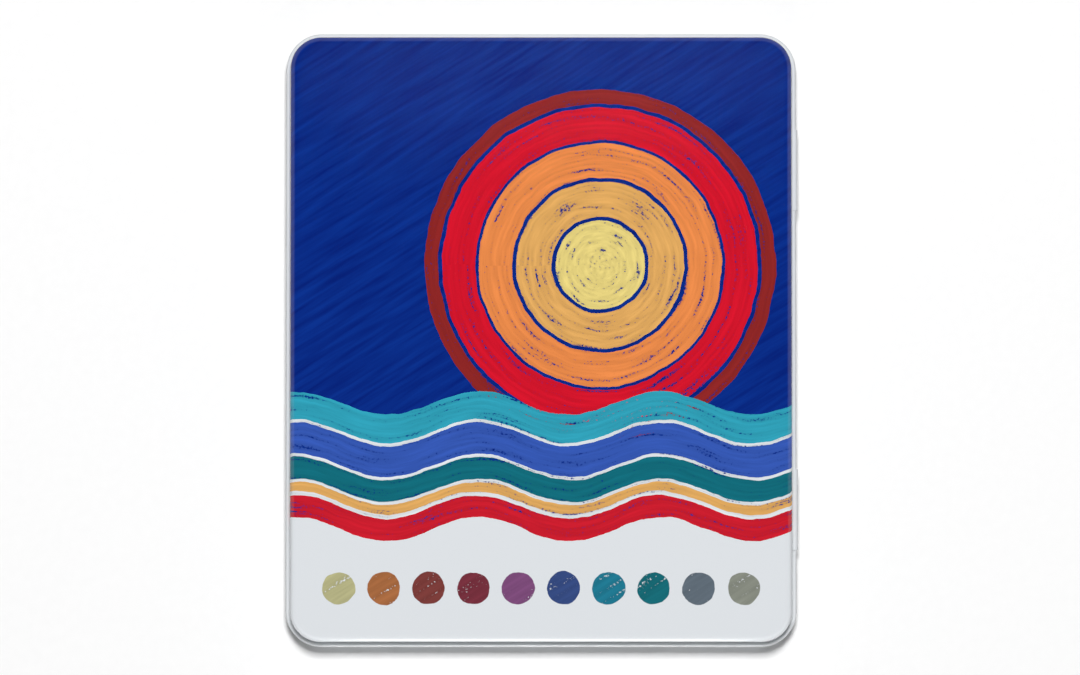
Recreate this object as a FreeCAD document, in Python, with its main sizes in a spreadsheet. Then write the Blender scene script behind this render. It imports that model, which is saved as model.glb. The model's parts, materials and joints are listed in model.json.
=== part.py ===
import FreeCAD, Part
import math
import os
import re
import Sketcher

# Flat hinged tinplate box that holds ten wax crayons in a thermoformed tray.
# The box lies closed: +Z is up, +Y points to the crayon tips, +X to the hinge, millimetres.
# The origin is the middle of the underside.

COLOURS = (
    "gold",
    "copper",
    "russet",
    "crimson",
    "purple",
    "indigo",
    "turquoise",
    "teal",
    "slate",
    "silver",
)

document = FreeCAD.newDocument("crayon_tin")

# Driving dimensions, in millimetres and degrees
DRIVING = (
    # Wax crayons
    ("crayon_count", str(len(COLOURS))),
    ("crayon_diameter", "8.8"),
    ("crayon_length", "108"),
    ("crayon_gap", "0.32"),
    ("paper_gauge", "0.2"),
    ("paper_play", "0.02"),
    ("tip_length", "12.2"),
    ("tip_flat", "2.6"),
    ("facet_length", "11.4"),
    ("facet_count", "8"),
    # Thermoformed tray
    ("tray_sheet", "0.5"),
    ("tray_play", "0.2"),
    ("tray_foot", "0.05"),
    ("groove_play", "0.25"),
    ("ridge_drop", "2.2"),
    ("land_rise", "1.0"),
    ("side_land", "4.15"),
    ("butt_land", "3.7"),
    ("butt_play", "0.4"),
    ("trough_length", "6.2"),
    ("tip_land", "2.2"),
    # Tinplate pressings
    ("sheet_gauge", "0.25"),
    ("corner_radius", "7.4"),
    ("headroom", "1.8"),
    ("lid_depth", "6.0"),
    ("lid_play", "0.25"),
    ("shoulder_radius", "1.2"),
    ("bead_radius", "0.65"),
    ("bead_wrap", "292"),
    ("floor_radius", "1.2"),
    ("floor_rise", "0.6"),
    ("foot_width", "3.2"),
    ("rim_hem", "1.6"),
    ("rim_rise", "0.6"),
    ("bend_flats", "4"),
    ("fold_flats", "2"),
    ("curl_flats", "8"),
    ("bore_flats", "5"),
    # Hinges
    ("hinge_length", "16.5"),
    ("hinge_inset", "26.35"),
    ("hinge_play", "0.07"),
    ("knuckle_wrap", "240"),
    ("knuckle_bend", "0.2"),
    ("knuckle_slit", "0.2"),
    ("lance_height", "2.6"),
    ("window_play", "0.35"),
)

# Dimensions that follow from the driving ones
FOLLOWING = (
    # Crayons and the heights that they set
    ("crayon_radius", "crayon_diameter / 2"),
    ("core_radius", "crayon_radius - paper_gauge - paper_play"),
    ("wrapper_inner", "crayon_radius - paper_gauge"),
    ("wrapper_length", "crayon_length - tip_length"),
    ("tip_apothem", "tip_flat / 2"),
    ("facet_start", "crayon_length - facet_length"),
    ("pitch", "crayon_diameter + crayon_gap"),
    ("groove_radius", "crayon_radius + groove_play"),
    ("panel_level", "floor_rise + sheet_gauge"),
    ("tray_floor", "panel_level + tray_sheet"),
    ("crayon_level", "tray_floor - tray_foot + groove_radius"),
    ("first_crayon", "0 - (crayon_count - 1) * pitch / 2"),
    ("row_length", "(crayon_count - 1) * pitch"),
    ("lid_top", "crayon_level + crayon_radius + headroom + sheet_gauge"),
    ("lid_under", "lid_top - sheet_gauge"),
    ("hinge_level", "lid_top - lid_depth"),
    # Tray: outside, open bay and tip trough, then the same for its underside
    ("tray_x", "crayon_count * pitch / 2 + side_land"),
    ("tray_y", "(butt_land + butt_play + crayon_length + trough_length + tip_land) / 2"),
    ("tray_top", "crayon_level + land_rise"),
    ("tray_height", "tray_top - panel_level"),
    ("trough_depth", "tray_height - tray_sheet + 2 * tray_foot"),
    ("bay_x", "row_length / 2 + groove_radius"),
    ("bay_back", "butt_land - tray_y"),
    ("bay_front", "tray_y - tip_land"),
    ("butt_y", "bay_back + butt_play"),
    ("tip_y", "butt_y + crayon_length"),
    ("trough_back", "tip_y - tip_length"),
    ("under_x", "tray_x - tray_sheet"),
    ("under_y", "tray_y - tray_sheet"),
    ("under_height", "tray_height - tray_sheet"),
    ("under_bay_x", "bay_x + tray_sheet"),
    ("under_bay_back", "bay_back - tray_sheet"),
    ("under_bay_front", "bay_front + tray_sheet"),
    ("under_groove_radius", "groove_radius + tray_sheet"),
    ("under_trough_back", "trough_back - tray_sheet"),
    # Outer faces of the two pressings, and the bead that is also the hinge axis
    ("hem_gauge", "2 * sheet_gauge"),
    ("base_x", "tray_x + tray_play + hem_gauge"),
    ("base_y", "tray_y + tray_play + hem_gauge"),
    ("base_inner_x", "base_x - sheet_gauge"),
    ("skirt_x", "base_x + lid_play + sheet_gauge"),
    ("skirt_y", "base_y + lid_play + sheet_gauge"),
    ("bead_bore", "bead_radius - sheet_gauge"),
    ("hinge_x", "skirt_x + bead_bore"),
    ("corner_x", "hinge_x + bead_radius - corner_radius"),
    ("corner_y", "skirt_y + bead_bore + bead_radius - corner_radius"),
    # The same faces as radii about a corner's upright axis
    ("bead_r", "corner_radius - bead_radius"),
    ("skirt_r", "bead_r - bead_bore"),
    ("skirt_inner_r", "skirt_r - sheet_gauge"),
    ("base_r", "skirt_inner_r - lid_play"),
    ("base_inner_r", "base_r - sheet_gauge"),
    ("hem_r", "base_r - hem_gauge"),
    ("tray_r", "hem_r - tray_play"),
    ("under_r", "tray_r - tray_sheet"),
    # Lid section
    ("lid_panel_x", "skirt_x - shoulder_radius"),
    ("lid_panel_y", "skirt_y - shoulder_radius"),
    ("lid_panel_r", "skirt_r - shoulder_radius"),
    ("shoulder_inner", "shoulder_radius - sheet_gauge"),
    ("shoulder_level", "lid_top - shoulder_radius"),
    ("bead_end", "180 + bead_wrap"),
    ("bead_end_r", "bead_r + bead_radius * cos(bead_end)"),
    ("bead_end_level", "hinge_level + bead_radius * sin(bead_end)"),
    ("bead_end_inner_r", "bead_r + bead_bore * cos(bead_end)"),
    ("bead_end_inner_level", "hinge_level + bead_bore * sin(bead_end)"),
    # Base section and its raised floor panel
    ("floor_x", "base_x - floor_radius"),
    ("floor_y", "base_y - floor_radius"),
    ("floor_r", "base_r - floor_radius"),
    ("floor_bend", "floor_radius - sheet_gauge"),
    ("rim_top", "shoulder_level + rim_rise"),
    ("fold_level", "rim_top - sheet_gauge"),
    ("hem_level", "fold_level - rim_hem"),
    ("panel_x", "base_x - foot_width + sheet_gauge"),
    ("panel_y", "base_y - foot_width + sheet_gauge"),
    ("panel_r", "base_r - foot_width + sheet_gauge"),
    ("hollow_x", "panel_x - sheet_gauge"),
    ("hollow_y", "panel_y - sheet_gauge"),
    ("hollow_r", "panel_r - sheet_gauge"),
    # Knuckle section, about the hinge axis
    ("knuckle_bore", "bead_radius + hinge_play"),
    ("knuckle_radius", "knuckle_bore + sheet_gauge"),
    ("knuckle_end", "270 + knuckle_wrap"),
    ("knuckle_end_x", "knuckle_radius * cos(knuckle_end)"),
    ("knuckle_end_z", "knuckle_radius * sin(knuckle_end)"),
    ("knuckle_end_inner_x", "knuckle_bore * cos(knuckle_end)"),
    ("knuckle_end_inner_z", "knuckle_bore * sin(knuckle_end)"),
    ("wall_outside", "base_x - hinge_x"),
    ("wall_inside", "base_inner_x - hinge_x"),
    ("bend_x", "wall_outside + knuckle_bend"),
    ("bend_outer", "knuckle_bend + sheet_gauge"),
    ("bend_z", "0 - knuckle_radius - knuckle_bend"),
    ("lance_low", "hinge_level + bend_z"),
    ("lance_high", "hinge_level + lance_height"),
    ("hinge_y", "base_y - hinge_inset"),
    ("lance_near", "hinge_y - hinge_length / 2 - knuckle_slit"),
    ("lance_far", "hinge_y + hinge_length / 2 + knuckle_slit"),
    ("window_near", "hinge_y - hinge_length / 2 - window_play"),
    ("window_far", "hinge_y + hinge_length / 2 + window_play"),
    ("window_high", "hinge_level + knuckle_radius + window_play"),
)
cells = {}


def bound(rule):
    # The rule with each size written as the sheet cell that holds it
    return re.sub(r"[a-z_]+", lambda word: cells.get(word.group(), word.group()), rule)


def number(name):
    # The present value of a size, which may have a minus in front
    if name == "0":
        return 0.0
    if name.startswith("-"):
        return -number(name[1:])
    sheet, alias = cells[name].split(".")
    return float(document.getObject(sheet).get(alias))


def fill_sheet(title, rows, prefix=""):
    # One row to a size: its name in column A, its number or rule in column B
    sheet = document.addObject("Spreadsheet::Sheet", title)
    for row, (name, content) in enumerate(rows, start=1):
        sheet.set(f"A{row}", name)
        sheet.set(f"B{row}", prefix + bound(content))
        sheet.setAlias(f"B{row}", name)
    document.recompute()
    cells.update({name: f"{title}.{name}" for name, content in rows})


fill_sheet("Sizes", DRIVING)
fill_sheet("Layout", FOLLOWING, "=")


def origin_item(body, role):
    return next(item for item in body.Origin.OriginFeatures if item.Role == role)


def new_sketch(body, name, role, **offset):
    # A sketch on one of the body's own origin planes, moved off it by the named sizes
    sketch = body.newObject("Sketcher::SketchObject", name)
    sketch.AttachmentSupport = [(origin_item(body, role), "")]
    sketch.MapMode = "FlatFace"
    for axis, rule in offset.items():
        sketch.setExpression(f"AttachmentOffset.Base.{axis}", bound(rule))
    return sketch


def arc_between(start, end, radius, turn):
    # The arc from start to end that turns left or right, the long way round if turn says so
    chord = end - start
    rise = math.sqrt(max(radius**2 - (chord.Length / 2) ** 2, 0.0))
    left = FreeCAD.Vector(-chord.y, chord.x, 0).normalize()
    side = 1 if turn in ("left", "right long") else -1
    centre = start + chord / 2 + left * rise * side
    first, last = (start, end) if turn.startswith("left") else (end, start)
    angles = [math.atan2(point.y - centre.y, point.x - centre.x) for point in (first, last)]
    circle = Part.Circle(centre, FreeCAD.Vector(0, 0, 1), radius)
    return Part.ArcOfCircle(circle, *angles)


def draw_outline(sketch, points, bends=None):
    # Closed outline through named points; a bend gives the side that starts at that point a radius,
    # and draws it in flats where it also names their count
    bends = bends or {}
    spots = [FreeCAD.Vector(number(x), number(y), 0) for x, y in points]
    starts, ends = [], []
    for index, spot in enumerate(spots):
        following = spots[(index + 1) % len(spots)]
        if index not in bends:
            geometry = sketch.addGeometry(Part.LineSegment(spot, following))
            starts.append((geometry, 1))
            ends.append((geometry, 2))
            continue
        radius, turn, *flats = bends[index]
        curve = arc_between(spot, following, number(radius), turn)
        geometry = sketch.addGeometry(curve, bool(flats))
        forward = turn.startswith("left")
        starts.append((geometry, 1 if forward else 2))
        ends.append((geometry, 2 if forward else 1))
        bind_constraint(sketch, radius, "Radius", geometry)
        if flats:
            draw_flats(sketch, geometry, curve, round(number(*flats)))
    for index, (x, y) in enumerate(points):
        sketch.addConstraint(Sketcher.Constraint("Coincident", *ends[index - 1], *starts[index]))
        place_point(sketch, starts[index], x, y)


def draw_flats(sketch, arc, curve, count):
    # Equal flats from end to end of a construction arc, with their corners on it
    step = (curve.LastParameter - curve.FirstParameter) / count
    corners = [curve.value(curve.FirstParameter + step * place) for place in range(count + 1)]
    flats = [sketch.addGeometry(Part.LineSegment(*pair)) for pair in zip(corners, corners[1:])]
    sketch.addConstraint(Sketcher.Constraint("Coincident", flats[0], 1, arc, 1))
    sketch.addConstraint(Sketcher.Constraint("Coincident", flats[-1], 2, arc, 2))
    for near, far in zip(flats, flats[1:]):
        sketch.addConstraint(Sketcher.Constraint("Coincident", near, 2, far, 1))
        sketch.addConstraint(Sketcher.Constraint("PointOnObject", far, 1, arc))
        sketch.addConstraint(Sketcher.Constraint("Equal", near, far))


def bind_constraint(sketch, name, kind, *places):
    index = sketch.addConstraint(Sketcher.Constraint(kind, *places, number(name)))
    sketch.setExpression(f"Constraints[{index}]", bound(name))


def place_point(sketch, place, x, y):
    # Ties a point to the sketch's origin, or to an axis where that coordinate is nought
    for name, kind, axis in ((x, "DistanceX", -2), (y, "DistanceY", -1)):
        if name == "0":
            sketch.addConstraint(Sketcher.Constraint("PointOnObject", *place, axis))
        else:
            bind_constraint(sketch, name, kind, -1, 1, *place)


def draw_circle(sketch, x, y, radius):
    centre = FreeCAD.Vector(number(x), number(y), 0)
    geometry = sketch.addGeometry(Part.Circle(centre, FreeCAD.Vector(0, 0, 1), number(radius)))
    bind_constraint(sketch, radius, "Radius", geometry)
    place_point(sketch, (geometry, 3), x, y)


def draw_rectangle(sketch, low_x, high_x, low_y, high_y):
    draw_outline(sketch, ((low_x, low_y), (high_x, low_y), (high_x, high_y), (low_x, high_y)))


def draw_rounded(sketch, half_x, half_y, radius):
    # Every outline of the box has its corners about the same four upright axes
    points = (
        (half_x, "-corner_y"),
        (half_x, "corner_y"),
        ("corner_x", half_y),
        ("-corner_x", half_y),
        ("-" + half_x, "corner_y"),
        ("-" + half_x, "-corner_y"),
        ("-corner_x", "-" + half_y),
        ("corner_x", "-" + half_y),
    )
    draw_outline(sketch, points, {side: (radius, "left") for side in (1, 3, 5, 7)})


def pad(body, name, sketch, length, symmetric=False, backwards=False):
    feature = body.newObject("PartDesign::Pad", name)
    feature.Profile = sketch
    feature.setExpression("Length", bound(length))
    feature.SideType = "Symmetric" if symmetric else "One side"
    feature.Reversed = backwards
    document.recompute()
    return feature


def pocket(body, name, sketch, length=None, symmetric=False, backwards=False):
    # Cuts by a named length, or right through; a cut that misses the solid is an error
    before = body.Shape.Volume
    feature = body.newObject("PartDesign::Pocket", name)
    feature.Profile = sketch
    feature.SideType = "Symmetric" if symmetric else "One side"
    feature.Reversed = backwards
    if length:
        feature.setExpression("Length", bound(length))
    else:
        feature.Type = "ThroughAll"
    document.recompute()
    if body.Shape.Volume > before * (1 - 1e-9):
        raise RuntimeError(f"{name} cuts nothing")
    return feature


def mirror(body, name, role, originals=None):
    # Mirrors the named features, or the whole body
    feature = body.newObject("PartDesign::Mirrored", name)
    feature.MirrorPlane = (origin_item(body, role), [""])
    if originals:
        feature.Originals = originals
    else:
        feature.TransformMode = "Whole shape"
    body.Tip = feature
    document.recompute()
    return feature


def new_body(label):
    body = document.addObject("PartDesign::Body", label)
    body.Label = label
    return body


def press_wall(body, section):
    # A pressed wall with one section all round: two straight sides and a corner, mirrored twice
    straight = new_sketch(body, "hinge_side_section", "XZ_Plane", x="corner_x")
    section(straight)
    pad(body, "hinge_side", straight, "2 * corner_y", symmetric=True)
    across = new_sketch(body, "tip_side_section", "YZ_Plane", x="corner_y")
    section(across)
    pad(body, "tip_side", across, "2 * corner_x", symmetric=True)
    turned = new_sketch(body, "corner_section", "XZ_Plane", x="corner_x", z="-corner_y")
    section(turned)
    corner = body.newObject("PartDesign::Revolution", "corner")
    corner.Profile = turned
    corner.ReferenceAxis = (turned, ["V_Axis"])
    corner.Angle = 90
    document.recompute()
    mirror(body, "left_half", "YZ_Plane")
    mirror(body, "front_half", "XZ_Plane")


# Base: a drawn pan with a rim hemmed inward, a raised floor panel and two lanced hinge knuckles
def base_section(sketch):
    points = (
        ("floor_r", "0"),
        ("base_r", "floor_radius"),
        ("base_r", "fold_level"),
        ("base_inner_r", "rim_top"),
        ("hem_r", "fold_level"),
        ("hem_r", "hem_level"),
        ("base_inner_r", "hem_level"),
        ("base_inner_r", "floor_radius"),
        ("floor_r", "sheet_gauge"),
    )
    bends = {
        0: ("floor_radius", "left", "bend_flats"),
        2: ("sheet_gauge", "left", "fold_flats"),
        3: ("sheet_gauge", "left", "fold_flats"),
        7: ("floor_bend", "right", "bend_flats"),
    }
    draw_outline(sketch, points, bends)


def knuckle_section(sketch):
    # The tongue leaves the wall, passes under the lid's bead and rolls up and over it
    points = (
        ("wall_outside", "bend_z"),
        ("bend_x", "-knuckle_radius"),
        ("0", "-knuckle_radius"),
        ("knuckle_end_x", "knuckle_end_z"),
        ("knuckle_end_inner_x", "knuckle_end_inner_z"),
        ("0", "-knuckle_bore"),
        ("bend_x", "-knuckle_bore"),
        ("wall_inside", "bend_z"),
    )
    bends = {
        0: ("knuckle_bend", "right", "fold_flats"),
        2: ("knuckle_radius", "left long", "curl_flats"),
        4: ("knuckle_bore", "right long"),
        6: ("bend_outer", "left", "fold_flats"),
    }
    draw_outline(sketch, points, bends)


tin_base = new_body("tin_base")
floor_outline = new_sketch(tin_base, "floor_outline", "XY_Plane")
draw_rounded(floor_outline, "floor_x", "floor_y", "floor_r")
pad(tin_base, "floor", floor_outline, "sheet_gauge")
press_wall(tin_base, base_section)
panel_outline = new_sketch(tin_base, "panel_outline", "XY_Plane")
draw_rounded(panel_outline, "panel_x", "panel_y", "panel_r")
pad(tin_base, "raised_panel", panel_outline, "panel_level")
hollow_outline = new_sketch(tin_base, "hollow_outline", "XY_Plane")
draw_rounded(hollow_outline, "hollow_x", "hollow_y", "hollow_r")
pocket(tin_base, "panel_hollow", hollow_outline, "floor_rise", backwards=True)
lance_outline = new_sketch(tin_base, "lance_outline", "YZ_Plane", z="base_inner_x - sheet_gauge")
draw_rectangle(lance_outline, "lance_near", "lance_far", "lance_low", "lance_high")
lance = pocket(tin_base, "lance", lance_outline, "3 * sheet_gauge", backwards=True)
knuckle_outline = new_sketch(
    tin_base, "knuckle_outline", "XZ_Plane", x="hinge_x", y="hinge_level", z="-hinge_y"
)
knuckle_section(knuckle_outline)
knuckle = pad(tin_base, "knuckle", knuckle_outline, "hinge_length", symmetric=True)
mirror(tin_base, "front_knuckle", "XZ_Plane", [lance, knuckle])


# Lid: a shallow pressing whose lower edge is curled outward into a bead
def lid_section(sketch):
    points = (
        ("lid_panel_r", "lid_top"),
        ("skirt_r", "shoulder_level"),
        ("skirt_r", "hinge_level"),
        ("bead_end_inner_r", "bead_end_inner_level"),
        ("bead_end_r", "bead_end_level"),
        ("skirt_inner_r", "hinge_level"),
        ("skirt_inner_r", "shoulder_level"),
        ("lid_panel_r", "lid_under"),
    )
    bends = {
        0: ("shoulder_radius", "right"),
        2: ("bead_bore", "left long", "bore_flats"),
        4: ("bead_radius", "right long", "curl_flats"),
        6: ("shoulder_inner", "left", "bend_flats"),
    }
    draw_outline(sketch, points, bends)


tin_lid = new_body("tin_lid")
lid_outline = new_sketch(tin_lid, "lid_outline", "XY_Plane", z="lid_under")
draw_rounded(lid_outline, "lid_panel_x", "lid_panel_y", "lid_panel_r")
pad(tin_lid, "lid_panel", lid_outline, "sheet_gauge")
press_wall(tin_lid, lid_section)
window_outline = new_sketch(tin_lid, "window_outline", "YZ_Plane", z="skirt_x - 2 * sheet_gauge")
draw_rectangle(window_outline, "window_near", "window_far", "hinge_level", "window_high")
window = pocket(tin_lid, "window", window_outline, "2 * sheet_gauge", backwards=True)
mirror(tin_lid, "front_window", "XZ_Plane", [window])


# Tray: the formed upper side less the same form one sheet thickness inside it
def tray_form(label, block, part, trough_depth):
    form = new_body(label)
    form.AllowCompound = True
    outline = new_sketch(form, "block_outline", "XY_Plane", z="panel_level")
    draw_rounded(outline, block + "x", block + "y", block + "r")
    pad(form, "block", outline, block + "height")
    top = f"panel_level + {block}height"
    bay = new_sketch(form, "bay_outline", "XY_Plane", z=top)
    draw_rectangle(bay, f"-{part}bay_x", part + "bay_x", part + "bay_back", part + "bay_front")
    pocket(form, "bay", bay, "land_rise + ridge_drop")
    trough = new_sketch(form, "trough_outline", "XY_Plane", z=top)
    draw_rectangle(trough, f"-{part}bay_x", part + "bay_x", part + "trough_back", part + "bay_front")
    pocket(form, "tip_trough", trough, trough_depth)
    round_end = new_sketch(form, "groove_outline", "XZ_Plane", z=f"-{part}bay_back")
    draw_circle(round_end, "first_crayon", "crayon_level", part + "groove_radius")
    groove = pocket(form, "groove", round_end, f"{part}trough_back - {part}bay_back")
    grooves = form.newObject("PartDesign::LinearPattern", "grooves")
    grooves.Originals = [groove]
    grooves.Direction = (origin_item(form, "X_Axis"), [""])
    grooves.setExpression("Length", bound("row_length"))
    grooves.setExpression("Occurrences", bound("crayon_count"))
    form.Tip = grooves
    document.recompute()
    return form


crayon_tray = document.addObject("Part::Cut", "crayon_tray")
crayon_tray.Label = "crayon_tray"
crayon_tray.Base = tray_form("tray_upper_form", "tray_", "", "trough_depth")
crayon_tray.Tool = tray_form("tray_under_form", "under_", "under_", None)
document.recompute()


# Crayons: a wax core with a faceted tip, and a paper wrapper that leaves the tip bare
def put_in_groove(body, index):
    body.setExpression("Placement.Base.x", bound(f"first_crayon + {index} * pitch"))
    body.setExpression("Placement.Base.y", bound("butt_y"))
    body.setExpression("Placement.Base.z", bound("crayon_level"))


def wax_core(label, index):
    core = new_body(label)
    section = new_sketch(core, "core_section", "XZ_Plane")
    draw_circle(section, "0", "0", "core_radius")
    pad(core, "stick", section, "crayon_length", backwards=True)
    slope = new_sketch(core, "facet_outline", "YZ_Plane")
    points = (
        ("crayon_length", "tip_apothem"),
        ("crayon_length", "crayon_radius"),
        ("facet_start", "crayon_radius"),
        ("facet_start", "core_radius"),
    )
    draw_outline(slope, points)
    facet = pocket(core, "facet", slope, "crayon_diameter", symmetric=True)
    facets = core.newObject("PartDesign::PolarPattern", "facets")
    facets.Originals = [facet]
    facets.Axis = (origin_item(core, "Y_Axis"), [""])
    facets.Angle = 360
    facets.setExpression("Occurrences", bound("facet_count"))
    core.Tip = facets
    put_in_groove(core, index)
    document.recompute()
    return core


def paper_wrapper(label, index):
    wrapper = new_body(label)
    section = new_sketch(wrapper, "wrapper_section", "XZ_Plane")
    draw_circle(section, "0", "0", "crayon_radius")
    draw_circle(section, "0", "0", "wrapper_inner")
    pad(wrapper, "sleeve", section, "wrapper_length", backwards=True)
    put_in_groove(wrapper, index)
    document.recompute()
    return wrapper


crayons = []
for place, colour in enumerate(COLOURS):
    crayons.append(wax_core(f"crayon_{colour}_core", place))
    crayons.append(paper_wrapper(f"crayon_{colour}_wrapper", place))

# Every object is sound and every piece is one valid solid before anything is written
document.recompute()
for item in document.Objects:
    if "Invalid" in item.State or "Error" in item.State:
        raise RuntimeError(f"{item.Label} failed: {item.State}")
pieces = [tin_base, tin_lid, crayon_tray, *crayons]
for piece in pieces:
    if piece.Shape.isNull() or not piece.Shape.isValid() or len(piece.Shape.Solids) != 1:
        raise RuntimeError(f"{piece.Label} is not one valid solid")
os.makedirs("parts", exist_ok=True)
for piece in pieces:
    piece.Shape.exportStep(f"parts/{piece.Label}.step")
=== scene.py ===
import json
import math

import bpy
import numpy as np
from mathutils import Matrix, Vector


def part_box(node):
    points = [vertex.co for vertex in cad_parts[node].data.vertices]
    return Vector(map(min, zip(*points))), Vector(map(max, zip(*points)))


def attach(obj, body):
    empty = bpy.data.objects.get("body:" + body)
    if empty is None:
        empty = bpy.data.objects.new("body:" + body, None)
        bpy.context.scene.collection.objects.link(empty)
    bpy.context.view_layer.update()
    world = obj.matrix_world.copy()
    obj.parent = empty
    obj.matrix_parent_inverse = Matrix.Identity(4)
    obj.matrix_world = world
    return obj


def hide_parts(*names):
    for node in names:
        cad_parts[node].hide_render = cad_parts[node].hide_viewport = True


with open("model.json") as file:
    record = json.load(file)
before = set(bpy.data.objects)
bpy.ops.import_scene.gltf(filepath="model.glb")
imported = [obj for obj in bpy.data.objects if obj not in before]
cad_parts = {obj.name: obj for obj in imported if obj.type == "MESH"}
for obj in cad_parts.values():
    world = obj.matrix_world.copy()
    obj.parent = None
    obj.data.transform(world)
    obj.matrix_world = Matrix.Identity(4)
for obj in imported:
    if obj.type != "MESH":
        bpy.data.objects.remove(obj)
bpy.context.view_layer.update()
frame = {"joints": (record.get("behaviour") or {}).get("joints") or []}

# Base of the tin: the tray half of the box, pressed from one sheet of tinplate and enamelled white.
# Its floor is raised inside a foot ring, its rim is hemmed inwards, and on the right side two tongues
# are lanced out of the wall and rolled up into the knuckles of the hinge.
MM = 0.001


def box_mm(node):
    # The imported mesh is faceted, so its box is rounded to 0.01 mm
    return [[round(value / MM, 2) for value in corner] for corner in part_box(node)]


def joint_of(name):
    return next(joint for joint in frame["joints"] if joint["name"] == name)


# Sizes are in millimetres. A section's points are (outwards from a corner's upright axis, height)
base_low, base_high = box_mm("tin_base")
lid_high = box_mm("tin_lid")[1]
hinge = [value / MM for value in joint_of("lid_hinge")["pos_m"]]
HINGE_X = hinge[0]
HINGE_Z = hinge[2]
SHEET = 0.25
CORNER_R = 7.4
CORNER_X = lid_high[0] - CORNER_R
CORNER_Y = lid_high[1] - CORNER_R
CORNER_STEPS = 22
SHEET_CREASE = 35
WELD = 0.002
PUNCH_REACH = 0.1
# Points set this far from a bend keep its shading off the flat sheet beside it
HOLD = 0.35
# A swept face is printed where more than this share of its corners is marked
INKED_SHARE = 0.6


def add_node(tree, kind, inputs=None, **settings):
    node = tree.nodes.new(kind)
    for name, value in settings.items():
        setattr(node, name, value)
    for name, value in (inputs or {}).items():
        if isinstance(name, int):
            socket = node.inputs[name]
        else:
            socket = next(s for s in node.inputs if s.name == name and s.enabled)
        if isinstance(value, bpy.types.Node):
            value = next(s for s in value.outputs if s.enabled)
        if isinstance(value, bpy.types.NodeSocket):
            tree.links.new(value, socket)
        else:
            socket.default_value = value
    return node


def linear(code):
    channels = [int(code[i:i + 2], 16) / 255 for i in (1, 3, 5)]
    return (*[c / 12.92 if c <= 0.04045 else ((c + 0.055) / 1.055) ** 2.4 for c in channels], 1.0)


def new_material(name):
    material = bpy.data.materials.new(name)
    material.use_nodes = True
    material.node_tree.nodes.clear()
    return material, material.node_tree


def new_form(name, inputs):
    tree = bpy.data.node_groups.new(name, "GeometryNodeTree")
    tree.interface.new_socket("Mesh", in_out="INPUT", socket_type="NodeSocketGeometry")
    for label, kind in inputs.items():
        tree.interface.new_socket(label, in_out="INPUT", socket_type="NodeSocket" + kind)
    tree.interface.new_socket("Mesh", in_out="OUTPUT", socket_type="NodeSocketGeometry")
    given = add_node(tree, "NodeGroupInput").outputs
    return tree, given


def end_form(tree, mesh, chosen, finish, crease):
    # Smooth faces with creases where they meet sharply, then a plain mesh with its finish
    angle = add_node(tree, "GeometryNodeInputMeshEdgeAngle")
    hard = add_node(tree, "FunctionNodeCompare", {"A": angle, "B": math.radians(crease)},
                    operation="GREATER_THAN")
    mesh = add_node(tree, "GeometryNodeSetShadeSmooth", {"Geometry": mesh, "Shade Smooth": True})
    mesh = add_node(tree, "GeometryNodeSetShadeSmooth",
                    {"Geometry": mesh, "Selection": hard, "Shade Smooth": False}, domain="EDGE")
    mesh = add_node(tree, "GeometryNodeRealizeInstances", {"Geometry": mesh})
    mesh = add_node(tree, "GeometryNodeSetMaterial",
                    {"Geometry": mesh, "Selection": chosen, "Material": finish})
    add_node(tree, "NodeGroupOutput", {"Mesh": mesh})


def form_piece(name, mesh, tree, sizes):
    piece = bpy.data.objects.new(name, mesh)
    bpy.context.scene.collection.objects.link(piece)
    modifier = piece.modifiers.new("form", "NODES")
    modifier.node_group = tree
    for item in tree.interface.items_tree:
        if item.in_out == "INPUT" and item.name in sizes:
            modifier[item.identifier] = sizes[item.name]
    view = bpy.context.evaluated_depsgraph_get()
    plain = bpy.data.meshes.new_from_object(
        piece.evaluated_get(view), preserve_all_data_layers=True, depsgraph=view)
    piece.modifiers.clear()
    piece.data = plain
    return piece


def metres(*sizes):
    return tuple(float(size) * MM for size in sizes)


def arc(centre, radius, start, end, steps):
    turns = [math.radians(start + (end - start) * i / steps) for i in range(steps + 1)]
    return [(centre[0] + radius * math.cos(t), centre[1] + radius * math.sin(t)) for t in turns]


def section_mesh(name, points, inset=0.0, printed=0, closed=False):
    # A section lies in the sweep's own plane, where outwards is +X and up is -Y
    mesh = bpy.data.meshes.new(name)
    edges = [(i, i + 1) for i in range(len(points) - 1)]
    if closed:
        edges.append((len(points) - 1, 0))
    mesh.from_pydata([metres(out - inset, -up, 0) for out, up in points], edges, [])
    marks = mesh.attributes.new("printed", "FLOAT", "POINT")
    marks.data.foreach_set("value", [1.0 if i < printed else 0.0 for i in range(len(points))])
    return mesh


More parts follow.
